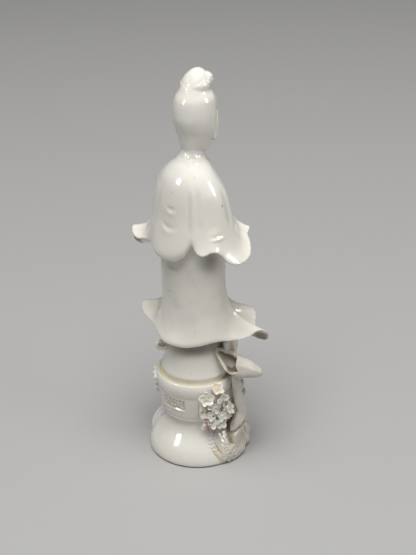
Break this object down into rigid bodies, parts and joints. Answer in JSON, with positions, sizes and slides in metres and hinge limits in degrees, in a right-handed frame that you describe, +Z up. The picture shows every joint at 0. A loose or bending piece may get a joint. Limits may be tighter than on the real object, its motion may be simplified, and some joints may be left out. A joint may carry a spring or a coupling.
{
  "type": "guanyin figure",
  "caption": "White glazed porcelain figure of a standing robed guanyin with topknot, cape and flared skirts, in one piece with its round plinth, lotus leaf, rockwork and blossoms.",
  "frame": {"origin": "centre of the flat underside of the foot", "axes": "+Z up through the figure; it faces -Y, so +X is its left-hand side and the side with the lotus leaf is -X"},
  "size_m": [0.1047, 0.0779, 0.2945],
  "materials": {
    "white_glaze": "warm ivory-white porcelain under a clear glossy glaze, creamier where the glaze pools"
  },
  "bodies": {
    "root": {"guanyin_figure": "white_glaze"}
  },
  "joints": []
}
